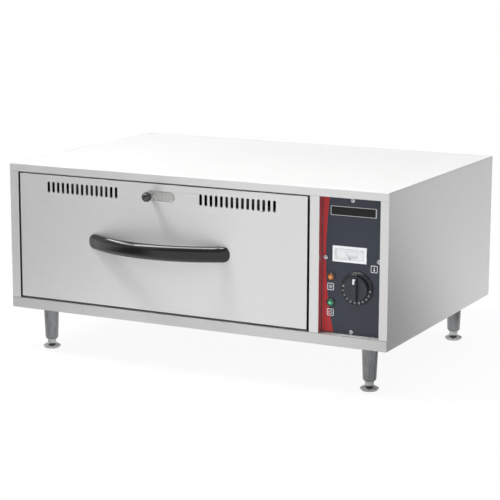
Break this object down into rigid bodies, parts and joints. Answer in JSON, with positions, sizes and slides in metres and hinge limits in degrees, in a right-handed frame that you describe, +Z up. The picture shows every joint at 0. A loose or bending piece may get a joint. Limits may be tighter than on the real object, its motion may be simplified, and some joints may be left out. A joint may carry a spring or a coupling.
{
  "type": "drawer warmer",
  "caption": "Countertop food warmer: insulated steel cabinet on short legs, one roller drawer with a food pan, bow handle, vent slide, thermostat dial and lamps.",
  "frame": {"origin": "on the floor, under the middle of the whole outline", "axes": "+Z up, +X to the right seen from the front, +Y from the front to the back"},
  "size_m": [0.737, 0.566, 0.346],
  "materials": {
    "brushed_stainless": "brushed stainless steel sheet, horizontal grain on the front",
    "liner_steel": "bright rolled stainless sheet",
    "pan_steel": "satin pressed stainless steel",
    "galvanised": "zinc-coated sheet",
    "mineral_wool": "pressed mineral wool board",
    "bumper_rubber": "moulded rubber",
    "element_sheath": "oxidised heater sheath",
    "nylon": "turned nylon",
    "plated_screw": "bright zinc plate",
    "slate_film": "printed polyester film",
    "nameplate_black": "black plate with a light border",
    "bezel_white": "white moulded plastic",
    "dial_face": "printed dial",
    "pointer_black": "black lacquer",
    "clear_lens": "clear moulded acrylic",
    "copper_tube": "drawn copper",
    "bakelite_black": "moulded black phenolic",
    "lamp_amber": "amber moulded lens",
    "lamp_green": "green moulded lens",
    "lamp_bezel": "dark chrome plate",
    "wire_sleeve": "silicone wire sleeve",
    "black_chrome": "black chrome plate",
    "leg_steel": "brushed leg tube",
    "foot_chrome": "bright chrome plate"
  },
  "bodies": {
    "cabinet": {"top_panel": "brushed_stainless", "left_side_panel": "brushed_stainless", "right_side_panel": "brushed_stainless", "base_pan": "brushed_stainless", "mullion": "brushed_stainless", "panel_mount_frame": "galvanised", "compartment_divider": "galvanised", "back_panel": "brushed_stainless", "back_panel_screws": "plated_screw", "cavity_liner": "liner_steel", "cavity_floor_and_rear": "liner_steel", "insulation_wrap": "mineral_wool", "insulation_boards": "mineral_wool", "rear_bumpers": "bumper_rubber", "heating_element": "element_sheath", "element_and_probe_clips": "liner_steel", "cabinet_rails": "galvanised", "rail_tracks": "galvanised", "rail_keepers": "galvanised", "rail_stop_pins": "plated_screw", "front_roller_pins": "plated_screw", "control_panel": "liner_steel", "panel_overlay": "slate_film", "panel_screws": "plated_screw", "blank_nameplate": "nameplate_black", "thermometer_case": "bezel_white", "thermometer_dial": "dial_face", "thermometer_lens": "clear_lens", "thermometer_probe": "copper_tube", "thermostat_body": "bakelite_black", "dial_ring": "bakelite_black", "thermostat_probe": "copper_tube", "lamp_holders": "lamp_bezel", "amber_lens": "lamp_amber", "green_lens": "lamp_green", "terminal_block": "nylon", "wiring": "wire_sleeve", "cord_gland": "bakelite_black", "leg_plates": "galvanised", "legs": "leg_steel"},
    "drawer": {"drawer_skin": "brushed_stainless", "drawer_inner_panel": "liner_steel", "drawer_insulation": "mineral_wool", "handle": "black_chrome", "handle_screws": "plated_screw", "shutter_guides": "galvanised", "drawer_box": "galvanised", "drawer_tracks": "galvanised", "pan_frame": "liner_steel", "food_pan": "pan_steel", "rear_roller_pins": "plated_screw"},
    "vent_slider": {"vent_knob": "black_chrome", "vent_stem": "liner_steel", "vent_slide_plate": "liner_steel", "vent_shutter": "liner_steel"},
    "thermostat_dial": {"thermostat_shaft": "liner_steel", "thermostat_knob": "bakelite_black"},
    "thermometer_pointer": {"thermometer_needle": "pointer_black"},
    "front_left_roller": {"front_roller_left": "nylon"},
    "front_right_roller": {"front_roller_right": "nylon"},
    "rear_left_roller": {"rear_roller_left": "nylon"},
    "rear_right_roller": {"rear_roller_right": "nylon"},
    "front_left_foot": {"foot_front_left": "foot_chrome"},
    "front_right_foot": {"foot_front_right": "foot_chrome"},
    "rear_left_foot": {"foot_rear_left": "foot_chrome"},
    "rear_right_foot": {"foot_rear_right": "foot_chrome"}
  },
  "joints": [
    {"name": "drawer_slide", "type": "slide", "parent": "cabinet", "child": "drawer", "axis": [0, -1, 0], "range_m": [0, 0.37]},
    {"name": "vent_slide", "type": "slide", "parent": "drawer", "child": "vent_slider", "axis": [1, 0, 0], "range_m": [0, 0.037]},
    {"name": "thermostat_turn", "type": "hinge", "parent": "cabinet", "child": "thermostat_dial", "pos_m": [0.30905, -0.234, 0.181], "axis": [0, 1, 0], "range_deg": [0, 270]},
    {"name": "thermometer_swing", "type": "hinge", "parent": "cabinet", "child": "thermometer_pointer", "pos_m": [0.29485, -0.2225, 0.2296], "axis": [0, 1, 0], "range_deg": [0, 76]},
    {"name": "front_left_roller_turn", "type": "hinge", "parent": "cabinet", "child": "front_left_roller", "pos_m": [-0.3435, -0.187, 0.2548], "axis": [1, 0, 0], "range_deg": [0, 1700]},
    {"name": "front_right_roller_turn", "type": "hinge", "parent": "cabinet", "child": "front_right_roller", "pos_m": [0.2205, -0.187, 0.2548], "axis": [1, 0, 0], "range_deg": [0, 1700]},
    {"name": "rear_left_roller_turn", "type": "hinge", "parent": "drawer", "child": "rear_left_roller", "pos_m": [-0.343, 0.218, 0.2548], "axis": [1, 0, 0], "range_deg": [0, 1700]},
    {"name": "rear_right_roller_turn", "type": "hinge", "parent": "drawer", "child": "rear_right_roller", "pos_m": [0.22, 0.218, 0.2548], "axis": [1, 0, 0], "range_deg": [0, 1700]},
    {"name": "front_left_foot_screw", "type": "slide", "parent": "cabinet", "child": "front_left_foot", "axis": [0, 0, -1], "range_m": [0, 0.02]},
    {"name": "front_right_foot_screw", "type": "slide", "parent": "cabinet", "child": "front_right_foot", "axis": [0, 0, -1], "range_m": [0, 0.02]},
    {"name": "rear_left_foot_screw", "type": "slide", "parent": "cabinet", "child": "rear_left_foot", "axis": [0, 0, -1], "range_m": [0, 0.02]},
    {"name": "rear_right_foot_screw", "type": "slide", "parent": "cabinet", "child": "rear_right_foot", "axis": [0, 0, -1], "range_m": [0, 0.02]}
  ],
  "couplings": [
    {"joint": "front_left_roller_turn", "follows": "drawer_slide", "rad_per_m": 80},
    {"joint": "front_right_roller_turn", "follows": "drawer_slide", "rad_per_m": 80},
    {"joint": "rear_left_roller_turn", "follows": "drawer_slide", "rad_per_m": 80},
    {"joint": "rear_right_roller_turn", "follows": "drawer_slide", "rad_per_m": 80}
  ]
}
